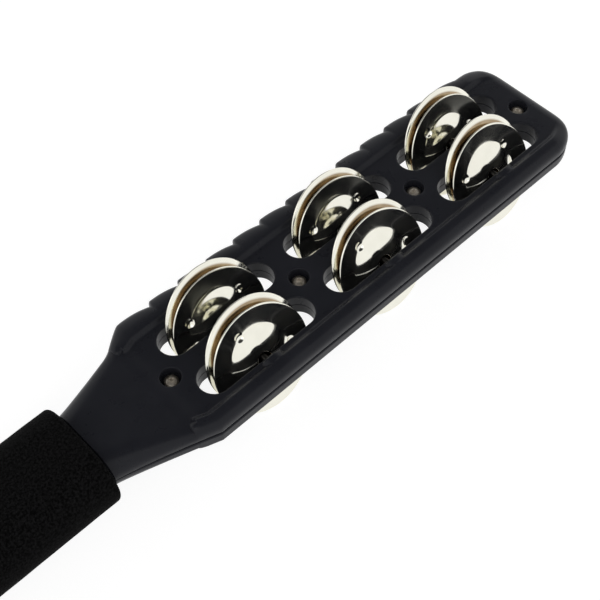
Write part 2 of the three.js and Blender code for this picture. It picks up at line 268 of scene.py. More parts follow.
# Camera: where it stands and what it looks at, from the stick's origin, and the picture's upward way
CAMERA_PLACE = np.array([-90.19, -156.863, 293.553]) * MM
CAMERA_TARGET = np.array([45.303, -6.451, 4.1]) * MM
CAMERA_UP = (0.5719, 0.5872, 0.5728)
CAMERA_LENS = 70.58
CAMERA_SENSOR = 36
CAMERA_NEAR = 0.01

# Light: the ceiling's edge and core are cosines of the angle from its middle
SKY_BRIGHT = 1.0
SKY_DARK = 0.05
CEILING_WAY = (0.1, 0.12, 0.988)
CEILING_EDGE = 0.70
CEILING_CORE = 0.80
FLOOR_SIZE = 6.0
FLOOR_GREY = 0.3
FLOOR_GLOW = 0.86
FLOOR_ROUGHNESS = 0.9
FLOOR_SPECULAR = 0.1
LAMP_PLACE = (-0.7, -0.5, 1.1)
LAMP_SIZE = 0.7
LAMP_POWER = 1.2


def share(value, start, end):
    """How far value lies from start to end, held between 0 and 1."""
    return np.clip((value - start) / (end - start), 0, 1)


def ease(t):
    """Smooth step of t from 0 to 1: 3 t squared less 2 t cubed."""
    return t * t * (3 - 2 * t)


def mix(a, b, t):
    """Straight blend from a at t = 0 to b at t = 1."""
    return a + (b - a) * t


def quad_grid(rows, columns, close_rows=False, close_columns=False):
    """Quads of a grid of points numbered row by row, with its sides joined where asked."""
    row = np.arange(rows if close_rows else rows - 1)[:, None]
    column = np.arange(columns if close_columns else columns - 1)[None, :]
    next_row = (row + 1) % rows
    next_column = (column + 1) % columns
    corners = [row * columns + column, row * columns + next_column,
               next_row * columns + next_column, next_row * columns + column]
    return np.stack(np.broadcast_arrays(*corners), axis=-1).reshape(-1, 4)


def ring_faces(points):
    """Faces of a surface whose grid closes on itself both ways, such as a torus."""
    return quad_grid(*points.shape[:2], close_rows=True, close_columns=True)[:, ::-1].tolist()


def tube_faces(points, first=0):
    """Faces of a stack of closed rings with a flat cap at each end, their points numbered from first."""
    rings, size = points.shape[:2]
    quads = first + quad_grid(rings, size, close_columns=True)
    start_cap = first + np.arange(size)[::-1]
    end_cap = first + np.arange((rings - 1) * size, rings * size)
    return [*quads.tolist(), start_cap.tolist(), end_cap.tolist()]


def make_mesh(name, points, faces):
    """Mesh of points (any grid shape, from the stick's origin) and faces."""
    mesh = bpy.data.meshes.new(name)
    mesh.from_pydata((points.reshape(-1, 3) + ORIGIN).tolist(), [], faces)
    mesh.validate()
    return mesh


def add_object(name, mesh):
    """Object at the scene's origin for a mesh."""
    piece = bpy.data.objects.new(name, mesh)
    bpy.context.scene.collection.objects.link(piece)
    return piece


def finish_piece(piece, body, material, nodes, smooth_angle=35):
    """Smooth shading up to an angle, its material, the body it rides on and the nodes it stands for."""
    mesh = piece.data
    mesh.shade_smooth()
    mesh.set_sharp_from_angle(angle=math.radians(smooth_angle))
    mesh.materials.clear()
    mesh.materials.append(material)
    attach(piece, body)
    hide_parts(*nodes)
    return piece


def tooth_profile(u):
    """Height of a scraper tooth over its pitch: a quarter sine up, then 1 less a power of the way down."""
    rise = np.sin(np.clip(u / TOOTH_RISE, 0, 1) * math.pi / 2)
    fall = 1 - share(u, TOOTH_RISE, 1) ** TOOTH_FALL_POWER
    return np.where(u < TOOTH_RISE, rise, fall)


def scraper_standout(x):
    """How far the scraper edge stands out: an eased lead-in, the teeth, then a plain run to the tip."""
    lead_in = ease(share(x, FIRST_TOOTH_TOP - SCRAPER_LEAD, FIRST_TOOTH_TOP))
    lead = lead_in * (SCRAPER_STANDOUT + TOOTH_DEPTH)
    teeth = SCRAPER_STANDOUT + TOOTH_DEPTH * tooth_profile(((x - SCRAPER_START) / TOOTH_PITCH) % 1.0)
    return np.where(x <= FIRST_TOOTH_TOP, lead, np.where(x >= SCRAPER_END, SCRAPER_STANDOUT, teeth))


def half_width(x, corner):
    """Half width without the scraper: the core, a neck that flares by a power of the way along it, the head,
    and a circular corner at the tip."""
    flare = share(x, NECK_START, 0) ** NECK_FLARE_POWER
    width = mix(CORE_HALF_WIDTH + NECK_SHOULDER, HEAD_HALF_WIDTH, flare)
    into_corner = np.clip(x - (TIP_X - corner), 0, corner)
    cornered = width - corner + np.sqrt(corner ** 2 - into_corner ** 2)
    return np.where(x <= CORE_FRONT, CORE_HALF_WIDTH, cornered)


def plate_height(x):
    """Height above the parting plane: the core, a neck that thins evenly, and an eased step down to the
    head's plate."""
    neck = mix(CORE_HALF + NECK_SHOULDER, NECK_HALF, share(x, NECK_START, RAIL_NOSE))
    head = mix(neck, PLATE_HALF, ease(share(x, RECESS_START, RECESS_END)))
    return np.where(x <= CORE_FRONT, CORE_HALF, head)


def edge_height(x):
    """Height of the outer edge where the rail stands in full: its top, eased down to the plate at the tip."""
    fade = 1 - ease(share(x, TIP_X - TIP_CORNER, TIP_X - TIP_EDGE / 2))
    return mix(plate_height(x), RAIL_TOP, fade)


def nose_share(x, y, crest):
    """How much of the rail's height stands at a place: none on the neck, then a quarter round over the
    distance from the end of the rail's full run, which turns its inner corner round in plan too."""
    inward = np.clip(crest + NOSE_RADIUS - y, 0, None)
    away = np.hypot(np.clip(RAIL_FULL - x, 0, None), np.where(x < RAIL_FULL, inward, 0))
    return np.sqrt(1 - share(away, 0, NOSE_RADIUS) ** 2)


def edge_round(x):
    """Width of the rounded edge: a half round on the core, narrowing evenly along the neck to the head's."""
    narrowing = mix(CORE_HALF + NECK_SHOULDER, EDGE_ROUND, share(x, NECK_START, RAIL_FULL))
    return np.where(x <= CORE_FRONT, CORE_HALF, narrowing)


def edge_power(x):
    """Power of the edge's rounding curve: 2, an ellipse, on the core, and squarer on the head."""
    return mix(CORE_EDGE_POWER, EDGE_POWER, share(x, NECK_START, RAIL_FULL))


def land_share(x, land):
    """Share of the edge's height that stands upright below its round: next to none on the core."""
    full = land / (RAIL_TOP - PARTING_HALF - PARTING_BEVEL)
    return np.maximum(full * share(x, NECK_START, RAIL_FULL), LEAST_LAND_SHARE)


def groove_share(x, land):
    """How much of the parting groove there is: it grows with the upright land until it is whole."""
    return np.minimum(1, land_share(x, land) * GROOVE_PER_LAND)


def butt_inset(x):
    """How far the butt's quarter round draws the section in."""
    off = share(x, BUTT_X + BUTT_ROUND, BUTT_X)
    return BUTT_ROUND * (1 - np.sqrt(1 - off ** 2))


def tip_scale(x):
    """Height share left by the tip's quarter round: the cosine of the angle whose sine is the way into it."""
    return np.sqrt(1 - share(x, TIP_X - TIP_EDGE, TIP_X) ** 2)


def boss_height(x, y):
    """Low half-round boss over each pin's outer end: a circular arc along x, rounded off beside its slot
    and run out into the rail's crest."""
    radius = (BOSS_HALF_WIDTH ** 2 + BOSS_HEIGHT ** 2) / (2 * BOSS_HEIGHT)
    pin_x, pin_y = PIN_PLACES.T
    off_x = np.abs(x[..., None] - pin_x)
    beyond_slot = (y[..., None] - pin_y) * np.sign(pin_y) - SLOT_WIDTH / 2 - BOSS_SETBACK
    arc = np.sqrt(np.clip(radius ** 2 - off_x ** 2, 0, None)) - (radius - BOSS_HEIGHT)
    end = np.sqrt(1 - (1 - share(beyond_slot, 0, BOSS_END_ROUND)) ** 2)
    rail = ease(share(np.abs(y), BOSS_END, BOSS_END - BOSS_END_ROUND))
    return (np.clip(arc, 0, None) * end).max(-1) * rail


def shell_stations():
    """Places along the stick where the section is taken: close together wherever the form changes."""
    quarter = np.linspace(0, 1, QUARTER_POINTS)
    rise = np.linspace(0, TOOTH_RISE, TOOTH_RISE_POINTS)
    fall = np.linspace(TOOTH_RISE, 1, TOOTH_FALL_POINTS)[1:-1]
    teeth = np.arange(-1, TOOTH_COUNT)[:, None] + np.concatenate([rise, fall])
    teeth = SCRAPER_START + teeth * TOOTH_PITCH
    boss = np.linspace(-BOSS_HALF_WIDTH, BOSS_HALF_WIDTH, BOSS_POINTS)
    stretches = [
        BUTT_X + BUTT_ROUND * (1 - np.cos(quarter * math.pi / 2)),
        np.linspace(BUTT_X + BUTT_ROUND, CORE_FRONT, CORE_POINTS),
        np.linspace(NECK_START, RAIL_NOSE, NECK_POINTS),
        RAIL_NOSE + (RAIL_FULL - RAIL_NOSE) * quarter ** 2,
        np.linspace(RAIL_FULL, RECESS_END, RECESS_POINTS),
        np.linspace(RECESS_END, FIRST_TOOTH_TOP, LEAD_POINTS),
        teeth[teeth >= FIRST_TOOTH_TOP],
        np.unique(PIN_PLACES[:, 0])[:, None] + boss,
        np.linspace(SCRAPER_END, TIP_X - TIP_EDGE, END_RUN_POINTS),
        np.linspace(TIP_X - TIP_CORNER, TIP_X - TIP_EDGE, TIP_CORNER_POINTS),
        TIP_X - TIP_EDGE + TIP_EDGE * np.sin(np.linspace(0, TIP_TURN, TIP_EDGE_POINTS)),
    ]
    x = np.unique(np.concatenate([np.ravel(stretch) for stretch in stretches]))
    apart = np.diff(x, prepend=x[0] - 1) > LEAST_STATION_GAP
    return x[apart]


def parting_groove(scale):
    """Half of the shadow groove along the parting line, as depths and heights: in to its wall, out along its
    lip and round a quarter-circle bead to the side. scale shrinks its heights and bead at the ends."""
    turn = np.linspace(0, math.pi / 2, BEAD_POINTS)
    bead = GROOVE_BEAD * scale
    lip = PARTING_HALF + (GROOVE_HALF - PARTING_HALF) * scale
    wall = PARTING_BEVEL + (GROOVE_DEPTH - PARTING_BEVEL) * scale
    inward = np.concatenate([wall, wall, bead * (1 - np.sin(turn))], axis=1)
    height = np.concatenate([np.full_like(wall, PARTING_HALF), lip, lip + bead * (1 - np.cos(turn))], axis=1)
    return inward, height


def shell_side(x, standout, corner, land):
    """One side of the half section at each x, from the parting edge inwards to the middle, as y and z.
    After the groove the edge is an upright land and a quarter of a superellipse, and the rail's inner slope
    an eased step to the plate. Along the nose the low section blends into the railed one."""
    inset, scale = butt_inset(x)[:, None], tip_scale(x)[:, None]
    top = (edge_height(x)[:, None] - inset) * scale
    plate = (plate_height(x)[:, None] - inset) * scale
    width = half_width(x, corner)[:, None]
    outer = width + standout[:, None] - inset
    crest = width - edge_round(x)[:, None]
    power = edge_power(x)[:, None]
    softness = np.minimum(RAIL_SOFTNESS, SOFTNESS_SHARE * (outer - crest))
    turn = np.arccos((softness / (outer - crest)) ** (power / 2)) * np.linspace(0, 1, EDGE_POINTS)
    edge_y = crest + (outer - crest) * np.cos(turn) ** (2 / power)
    down = np.linspace(0, 1, SLOPE_POINTS)[1:]
    slope_y = crest + softness - down * (RAIL_SLOPE + 2 * softness)
    over = np.clip((slope_y - crest) / (outer - crest), 0, 1)

    def heights(peak):
        """The edge and the inner slope below a crest of this height."""
        base = mix(PARTING_HALF + PARTING_BEVEL, peak, land_share(x, land)[:, None])
        edge_z = base + (peak - base) * np.sin(turn) ** (2 / power)
        slope_z = mix(base + (peak - base) * (1 - over ** power) ** (1 / power), plate, ease(down))
        return np.concatenate([edge_z, slope_z], axis=1)

    rail_y = np.concatenate([edge_y, slope_y], axis=1)
    rail_z = mix(heights(plate), heights(top), nose_share(x[:, None], rail_y, crest))
    across = np.concatenate([np.linspace(0, PLATE_OUTER_SHARE, PLATE_OUTER_POINTS)[1:],
                             np.linspace(PLATE_OUTER_SHARE, 1, PLATE_INNER_POINTS)[1:]])
    plate_y = slope_y[:, -1:] * (1 - across)
    plate_z = np.broadcast_to(plate, plate_y.shape)
    groove_in, groove_z = parting_groove(scale * groove_share(x, land)[:, None])
    y = np.concatenate([outer - groove_in, rail_y, plate_y], axis=1)
    z = np.concatenate([groove_z, rail_z, plate_z], axis=1)
    return y, z


def shell_surface(half):
    """Skin of a half shell as rings (station, point, xyz), before its slots and wells are cut: two sides that
    meet in the middle, raised to the bosses. half is 1 for the upper shell and -1 for the lower one."""
    x = shell_stations()
    land = TOP_EDGE_LAND if half > 0 else BOTTOM_EDGE_LAND
    smooth_y, smooth_z = shell_side(x, np.zeros_like(x), TIP_CORNER, land)
    scraper_y, scraper_z = shell_side(x, scraper_standout(x), SCRAPER_CORNER, land)
    y = np.concatenate([-smooth_y, scraper_y[:, -2::-1]], axis=1)
    z = np.concatenate([smooth_z, scraper_z[:, -2::-1]], axis=1)
    x = np.broadcast_to(x[:, None], y.shape)
    boss = boss_height(x, y)
    z = np.where(boss > 0, np.maximum(z, PLATE_HALF + boss), z)
    rings = np.stack([x, y, half * z], axis=-1)
    return rings[:, ::-1] if half > 0 else rings


def stadium(half_length, radius, arc_steps):
    """Points and outward normals round a stadium, two half circles joined by straight runs."""
    turn = np.linspace(-math.pi / 2, math.pi / 2, arc_steps + 1)
    turn = np.concatenate([turn, turn + math.pi])
    normal = np.stack([np.cos(turn), np.sin(turn)], axis=-1)
    middle = np.where(np.arange(len(turn)) <= arc_steps, 1, -1) * (half_length - radius)
    return normal * radius + np.stack([middle, np.zeros_like(turn)], axis=-1), normal


def circle(radius, steps):
    """Points and outward normals round a circle."""
    turn = np.linspace(0, 2 * math.pi, steps, endpoint=False)
    normal = np.stack([np.cos(turn), np.sin(turn)], axis=-1)
    return normal * radius, normal


def lip_profile(low, high, lip, half):
    """Offsets and heights of an upright cutter: straight up from low, then a quarter round that opens
    at the surface at high, so that what it cuts has a rounded lip. half turns it over for the lower shell."""
    turn = np.linspace(0, LIP_TURN, LIP_POINTS)
    reach = LIP_REACH * lip
    offset = np.concatenate([[0], lip * (1 - np.cos(turn)), [reach, reach]])
    height = np.concatenate([[low], high - lip * (1 - np.sin(turn)), [high + LIP_STEP * lip, high + lip]])
    return offset, half * height


def upright_cutter(path, normal, profile, place, half):
    """Rings of a cutter: the profile's offsets carried round a closed path at a place."""
    offset, height = profile
    flat = path + offset[:, None, None] * normal + place
    rings = np.concatenate([flat, np.broadcast_to(height[:, None, None], (*flat.shape[:2], 1))], axis=-1)
    return rings if half > 0 else rings[:, ::-1]


def cutter_object(name, tubes):
    """One object of several separate closed tubes."""
    points, faces, used = [], [], 0
    for rings in tubes:
        points.append(rings.reshape(-1, 3))
        faces += tube_faces(rings, first=used)
        used += len(points[-1])
    return add_object(name, make_mesh(name, np.concatenate(points), faces))


def pin_seat(place):
    """Rings of a round cutter along y for a pin and its clearance."""
    ring, _ = circle(PIN_RADIUS + FIT, SEAT_STEPS)
    along = (np.array([-0.5, 0.5]) * PIN_LENGTH + np.array([-FIT, FIT]))[:, None]
    x = np.broadcast_to(place[0] + ring[:, 0], (2, len(ring)))
    z = np.broadcast_to(-ring[:, 1], x.shape)
    return np.stack([x, np.broadcast_to(place[1] + along, x.shape), z], axis=-1)


def core_hollow():
    """Rings of the handle's hollow, a stadium carried along x."""
    path, _ = stadium(CORE_HALF_WIDTH - CORE_WALL, CORE_HALF - CORE_WALL, CORE_ARC_STEPS)
    along = np.array([BUTT_X + BUTT_ROUND + CORE_WALL, CORE_FRONT])[:, None]
    y, z = (np.broadcast_to(path[:, axis], (2, len(path))) for axis in (0, 1))
    return np.stack([np.broadcast_to(along, y.shape), y, z], axis=-1)


def shell_cutters(half):
    """Two groups of cutters for a half shell: what opens at its face, then what runs inside it."""
    slot = stadium(SLOT_LENGTH / 2, SLOT_WIDTH / 2, SLOT_ARC_STEPS)
    slot_profile = lip_profile(-CUT_PAST_PARTING, PLATE_HALF, SLOT_LIP, half)
    open_cuts = [upright_cutter(*slot, slot_profile, place, half) for place in PIN_PLACES]
    screws = np.stack([SCREW_X, np.zeros_like(SCREW_X)], axis=-1)
    if half > 0:
        well = circle(WELL_RADIUS, WELL_STEPS)
        well_profile = lip_profile(WELL_FLOOR, PLATE_HALF, WELL_LIP, half)
        open_cuts += [upright_cutter(*well, well_profile, place, half) for place in screws]
    shank = circle(SCREW_SHANK_RADIUS + FIT, SHANK_HOLE_STEPS)
    depth = np.array([-CUT_PAST_PARTING, WELL_FLOOR + FIT if half > 0 else -SCREW_POINT + FIT])
    shank_profile = (np.zeros(2), half * depth)
    inner_cuts = [upright_cutter(*shank, shank_profile, place, half) for place in screws]
    inner_cuts += [pin_seat(place) for place in PIN_PLACES]
    inner_cuts.append(core_hollow())
    return open_cuts, inner_cuts


def settle(piece):
    """Replaces a piece's mesh by what its modifiers make of it."""
    graph = bpy.context.evaluated_depsgraph_get()
    mesh = bpy.data.meshes.new_from_object(piece.evaluated_get(graph))
    piece.modifiers.clear()
    piece.data = mesh
    return piece


def shell_piece(name, half, node, material):
    """A half shell: the lofted skin with its slots, wells, pin seats, pilot holes and hollow cut out."""
    rings = shell_surface(half)
    piece = add_object(name, make_mesh(name, rings, tube_faces(rings)))
    for group, tubes in enumerate(shell_cutters(half)):
        cutter = cutter_object(f"{name}_cutter_{group}", tubes)
        cut = piece.modifiers.new("cut", "BOOLEAN")
        cut.operation = "DIFFERENCE"
        cut.solver = "EXACT"
        cut.object = cutter
        settle(piece)
        bpy.data.objects.remove(cutter)
    finish_piece(piece, "stick", material, [node], smooth_angle=30)
    piece.modifiers.new("even_normals", "WEIGHTED_NORMAL").keep_sharp = True
    return settle(piece)


def sheet_height(r):
    """Middle of a jingle's sheet over its radius. With t from 0 at the axis to 1 at the dome's foot and
    powers p < q, the dome falls by (q t^p - p t^q) / (q - p), level at both ends. Past the valley the brim
    flares by a power of the way to the rim."""
    t = share(r, 0, DOME_RADIUS)
    steep = DOME_FOOT_POWER * t ** DOME_POWER - DOME_POWER * t ** DOME_FOOT_POWER
    fall = steep / (DOME_FOOT_POWER - DOME_POWER)
    return BRIM_RISE * share(r, VALLEY_RADIUS, JINGLE_RADIUS) ** BRIM_POWER - DOME_RISE * fall


def jingle_profile():
    """Closed loop of a jingle's section as radius, height, how much of a dent it takes and how much painted
    brown shade it takes:
    the outer face from hole to rim, a half-round rim, the inner face back, and a half-round hole edge."""
    inner, outer = JINGLE_HOLE + JINGLE_SHEET_HALF, JINGLE_RADIUS - JINGLE_SHEET_HALF
    dent_from = VALLEY_RADIUS - DENT_MARGIN * DENT_RADIUS
    dent_to = VALLEY_RADIUS + DENT_MARGIN * DENT_RADIUS
    face = np.unique(np.concatenate([
        np.linspace(inner, dent_from, DOME_POINTS),
        np.linspace(dent_from, dent_to, VALLEY_POINTS),
        np.linspace(dent_to, outer, BRIM_POINTS),
    ]))
    middle = sheet_height(face)
    outside, inside = middle + JINGLE_SHEET_HALF, middle - JINGLE_SHEET_HALF
    turn = np.linspace(math.pi / 2, -math.pi / 2, RIM_POINTS)[1:-1]
    round_r, round_h = JINGLE_SHEET_HALF * np.cos(turn), JINGLE_SHEET_HALF * np.sin(turn)
    plain = np.zeros_like(turn)
    # Painted shade: the inner face takes the painted brown within a radius, for the dim reflections between
    # the pair
    painted_brown_shade = share(face, PAINTED_SHADE_WITHIN, PAINTED_SHADE_WITHIN - PAINTED_SHADE_FADE)

    def loop(outer_face, rim, inner_face, hole):
        """The four stretches in their order round the section."""
        return np.concatenate([outer_face, rim, inner_face[::-1], hole])

    return (
        loop(face, outer + round_r, face, inner - round_r),
        loop(outside, middle[-1] + round_h, inside, middle[0] - round_h),
        loop(np.ones_like(face), plain, np.full_like(face, DENT_SHOW_THROUGH), plain),
        loop(np.zeros_like(face), plain, painted_brown_shade, plain),
    )


def jingle_surface(section, centre, axis, facing, turn):
    """A jingle's section, as radius, height and dent share, revolved about its axis, with small ball-shaped
    dents pressed into the valley ring: each falls off by the square of the way from its middle."""
    r, height, dent = (stretch[:, None] for stretch in section)
    theta = np.linspace(0, 2 * math.pi, JINGLE_STEPS, endpoint=False)[None, :]
    dents = math.radians(turn) + np.arange(DENT_COUNT) * 2 * math.pi / DENT_COUNT
    flat = np.stack([r * np.cos(theta), r * np.sin(theta)], axis=-1)
    dent_places = VALLEY_RADIUS * np.stack([np.cos(dents), np.sin(dents)], axis=-1)
    away = np.linalg.norm(flat[:, :, None, :] - dent_places, axis=-1).min(-1)
    pressed = height - dent * DENT_DEPTH * (1 - share(away, 0, DENT_RADIUS) ** 2)
    outward = facing * axis
    up = np.array([0.0, -axis[2], axis[1]])
    across = np.cross(up, outward)
    return centre + flat[..., :1] * across + flat[..., 1:] * up + pressed[..., None] * outward


def partner_of(joint):
    """The joint of the other jingle on the same pin."""
    pair = joint["name"].rsplit("_", 1)[0]
    return next(other for other in frame["joints"]
                if other["name"].startswith(pair) and other["name"] != joint["name"])


def jingle_piece(joint, material):
    """A jingle on the body its joint turns, its dome facing away from its partner."""
    node = joint["child"]
    axis = np.array(joint["axis"], float)
    centre = np.array(joint["pos_m"], float)
    facing = np.sign((centre - np.array(partner_of(joint)["pos_m"], float)) @ axis)
    *section, painted_brown_shade = jingle_profile()
    points = jingle_surface(section, centre - ORIGIN, axis, facing, JINGLE_TURNS[node])
    mesh = make_mesh(node + "_disc", points, ring_faces(points))
    # The painted brown shade at each point, read by the material
    painted_shade = mesh.attributes.new(PAINTED_SHADE_NAME, "FLOAT", "POINT")
    painted_shade.data.foreach_set("value", np.repeat(painted_brown_shade, JINGLE_STEPS).astype(np.float32))
    piece = add_object(node.replace("jingle", "nickel_disc"), mesh)
    return finish_piece(piece, node, material, [node], smooth_angle=50)


def screw_head(theta):
    """Rings of a pan head as radius and height, from its middle out and round its side to the shank. The top
    is a dome that falls by a power of the radius, with a cross recess that runs out as a cone."""
    r = np.linspace(HEAD_MIDDLE, 1, HEAD_POINTS)[:, None] * SCREW_HEAD_RADIUS
    dome = SCREW_HEAD_TOP - HEAD_DOME * SCREW_HEAD_HEIGHT * (r / SCREW_HEAD_RADIUS) ** HEAD_DOME_POWER
    x, y = np.abs(r * np.cos(theta)), np.abs(r * np.sin(theta))
    long_way, short_way = np.maximum(x, y), np.minimum(x, y)
    inside = np.minimum(share(long_way, CROSS_ARM, CROSS_ARM_FLOOR * CROSS_ARM),
                        share(short_way, CROSS_HALF_WIDTH, CROSS_WIDTH_FLOOR * CROSS_HALF_WIDTH))
    top_z = dome - CROSS_DEPTH * inside * share(long_way, CROSS_CONE * CROSS_ARM, 0)
    neck = SCREW_SHANK_RADIUS / SCREW_HEAD_RADIUS
    side_r = np.array([1, 1, HEAD_FOOT_RADIUS, neck])[:, None] * SCREW_HEAD_RADIUS
    side_z = np.array([HEAD_SIDE_TOP, HEAD_SIDE_FOOT, 0, 0])[:, None] * SCREW_HEAD_HEIGHT
    side_z = SCREW_HEAD_TOP - SCREW_HEAD_HEIGHT + side_z
    radius = np.repeat(np.concatenate([r, side_r]), theta.size, axis=1)
    height = np.concatenate([top_z, np.repeat(side_z, theta.size, axis=1)])
    return radius, height


def screw_shank(theta):
    """Rings of the shank as radius and height, down to its tapered point, with a helical ridge: the distance
    from the middle of each pitch, turned once round per pitch."""
    under = SCREW_HEAD_TOP - SCREW_HEAD_HEIGHT - SHANK_START
    z = np.linspace(under, SCREW_POINT, SHANK_POINTS)[:, None]
    ridge = np.abs(((z / THREAD_PITCH + theta / (2 * math.pi)) % 1.0) - 0.5) * 2
    taper = share(z, SCREW_POINT - SCREW_TAPER, SCREW_POINT + 2 * SCREW_TAPER)
    return (SCREW_SHANK_RADIUS - THREAD_DEPTH * ridge) * taper, np.repeat(z, theta.size, axis=1)


def screw_piece(node, place_x, material):
    """A pan-head screw, revolved from the rings of its head and shank."""
    theta = np.linspace(0, 2 * math.pi, SCREW_STEPS, endpoint=False)[None, :]
    radius, height = (np.concatenate(parts) for parts in zip(screw_head(theta), screw_shank(theta)))
    points = np.stack([place_x + radius * np.cos(theta), radius * np.sin(theta), height], axis=-1)[::-1]
    mesh = make_mesh(node + "_pan", points, tube_faces(points))
    piece = add_object(node.replace("screw", "pan_screw"), mesh)
    return finish_piece(piece, "stick", material, [node], smooth_angle=40)


def pin_piece(node, place, material):
    """A round pin along y with chamfered ends."""
    along = np.array([-0.5, -0.5, 0.5, 0.5]) * PIN_LENGTH + np.array([0, 1, -1, 0]) * PIN_CHAMFER
    radius = PIN_RADIUS - np.array([1, 0, 0, 1]) * PIN_CHAMFER
    ring, _ = circle(1, PIN_STEPS)
    x = place[0] + radius[:, None] * ring[:, 0]
    z = -radius[:, None] * ring[:, 1]
    points = np.stack([x, np.broadcast_to((place[1] + along)[:, None], x.shape), z], axis=-1)
    mesh = make_mesh(node + "_round", points, tube_faces(points))
    piece = add_object(node.replace("pin", "steel_pin"), mesh)
    return finish_piece(piece, "stick", material, [node])


def sleeve_path():
    """Points and outward normals round the sleeve's inner stadium, with points along its straight runs."""
    path, normal = stadium(SLEEVE_INNER_HALF, SLEEVE_INNER_ROUND, SLEEVE_ARC_STEPS)
    straight = np.linspace(0, 1, SLEEVE_STRAIGHT_POINTS)[1:-1, None]
    half = len(path) // 2
    top = mix(path[half - 1], path[half], straight)
    low = mix(path[-1], path[0], straight)
    upward = np.tile([0.0, 1.0], (len(straight), 1))
    path = np.concatenate([path[:half], top, path[half:], low])
    normal = np.concatenate([normal[:half], upward, normal[half:], -upward])
    return path, normal


def sleeve_profile():
    """The sleeve's closed profile as places along x and offsets from the inner wall: the inner wall, the
    front end, its quarter-round edge, the outer wall, the back's edge and the back end."""
    turn = np.linspace(0, math.pi / 2, SLEEVE_EDGE_POINTS)
    round_along = SLEEVE_EDGE * (1 - np.cos(turn))
    round_offset = SLEEVE_WALL - SLEEVE_EDGE * (1 - np.sin(turn))
    inner = np.linspace(GRIP_BACK + SLEEVE_EDGE / 2, GRIP_FRONT - SLEEVE_EDGE / 2, SLEEVE_INNER_POINTS)
    outer = np.linspace(GRIP_FRONT - SLEEVE_EDGE, GRIP_BACK + SLEEVE_EDGE, SLEEVE_OUTER_POINTS)[1:-1]
    wall = np.linspace(SLEEVE_EDGE / 3, SLEEVE_WALL - SLEEVE_EDGE, SLEEVE_END_POINTS)[:-1]
    stretches = [
        (inner, np.zeros_like(inner)),
        (np.full_like(wall, GRIP_FRONT), wall),
        (GRIP_FRONT - round_along, round_offset),
        (outer, np.full_like(outer, SLEEVE_WALL)),
        (GRIP_BACK + round_along[::-1], round_offset[::-1]),
        (np.full_like(wall, GRIP_BACK), wall[::-1]),
    ]
    along, offset = (np.concatenate(parts) for parts in zip(*stretches))
    return along, offset


def sleeve_surface():
    """The sleeve's profile carried round its stadium, its outer wall uneven by the mean of slow waves."""
    path, normal = sleeve_path()
    along, offset = sleeve_profile()
    outer_share = share(offset, SLEEVE_WALL - SLEEVE_EDGE, SLEEVE_WALL)[:, None]
    around = np.linspace(0, 2 * math.pi, len(path), endpoint=False)[None, :]
    way = along[:, None] / (GRIP_FRONT - GRIP_BACK) * 2 * math.pi
    waves = [np.sin(lengthwise * way + crosswise * around + phase)
             for lengthwise, crosswise, phase in SLEEVE_WAVES]
    wave = sum(waves) / len(waves)
    out = offset[:, None] - SLEEVE_RIPPLE * (1 + wave) / 2 * outer_share
    yz = path + out[..., None] * normal
    return np.concatenate([np.broadcast_to(along[:, None, None], (*yz.shape[:2], 1)), yz], axis=-1)


def sleeve_piece(material):
    """The foam sleeve on the handle."""
    points = sleeve_surface()
    piece = add_object("foam_sleeve", make_mesh("foam_sleeve", points, ring_faces(points)))
    finish_piece(piece, "stick", material, ["foam_grip"], smooth_angle=60)
    return piece


class Finish:
    """A node material being built: a Principled shader and short ways to add nodes to it."""

    def __init__(self, name, color, metallic, roughness, specular=0.5):
        self.material = bpy.data.materials.new(name)
        self.material.use_nodes = True
        self.tree = self.material.node_tree
        self.shader = self.tree.nodes["Principled BSDF"]
        self.shader.inputs["Base Color"].default_value = (*color, 1)
        self.shader.inputs["Metallic"].default_value = metallic
        self.shader.inputs["Roughness"].default_value = roughness
        self.shader.inputs["Specular IOR Level"].default_value = specular
        self.place = self.tree.nodes.new("ShaderNodeTexCoord").outputs["Object"]

    def link(self, source, target):
        """Connects an output to an input."""
        self.tree.links.new(source, target)

    def noise(self, scale, detail=3.0, roughness=0.5):
        """Noise with features of about 1 / scale metres."""
        node = self.tree.nodes.new("ShaderNodeTexNoise")
        node.inputs["Scale"].default_value = scale
        node.inputs["Detail"].default_value = detail
        node.inputs["Roughness"].default_value = roughness
        self.link(self.place, node.inputs["Vector"])
        return node.outputs["Fac"]

    def cells(self, scale):
        """Distance to the middle of rounded cells of about 1 / scale metres."""
        node = self.tree.nodes.new("ShaderNodeTexVoronoi")
        node.inputs["Scale"].default_value = scale
        self.link(self.place, node.inputs["Vector"])
        return node.outputs["Distance"]

    def attribute(self, name):
        """A number that the mesh keeps at each of its points."""
        node = self.tree.nodes.new("ShaderNodeAttribute")
        node.attribute_name = name
        return node.outputs["Fac"]

    def blend(self, factor, first, second):
        """From the first colour at factor 0 to the second at 1."""
        node = self.tree.nodes.new("ShaderNodeMixRGB")
        for source, target in zip((factor, first, second), ("Fac", "Color1", "Color2")):
            self.link(source, node.inputs[target])
        return node.outputs["Color"]

    def ramp(self, factor, low, high, low_at=0.35, high_at=0.65):
        """Numbers or colours from low to high as the factor goes from low_at to high_at."""
        node = self.tree.nodes.new("ShaderNodeValToRGB")
        for element, place, value in zip(node.color_ramp.elements, (low_at, high_at), (low, high)):
            element.position = place
            element.color = (*value, 1) if isinstance(value, tuple) else (value, value, value, 1)
        self.link(factor, node.inputs["Fac"])
        return node.outputs["Color"]

    def bump(self, height, strength, distance, before=None):
        """Surface relief from a height, on top of an earlier relief if there is one."""
        node = self.tree.nodes.new("ShaderNodeBump")
        node.inputs["Strength"].default_value = strength
        node.inputs["Distance"].default_value = distance
        self.link(height, node.inputs["Height"])
        if before is not None:
            self.link(before, node.inputs["Normal"])
        return node.outputs["Normal"]

    def wear(self, color=None, roughness=None, normal=None):
        """Connects what varies over the surface to the shader and gives the material."""
        for source, name in ((color, "Base Color"), (roughness, "Roughness"), (normal, "Normal")):
            if source is not None:
                self.link(source, self.shader.inputs[name])
        return self.material


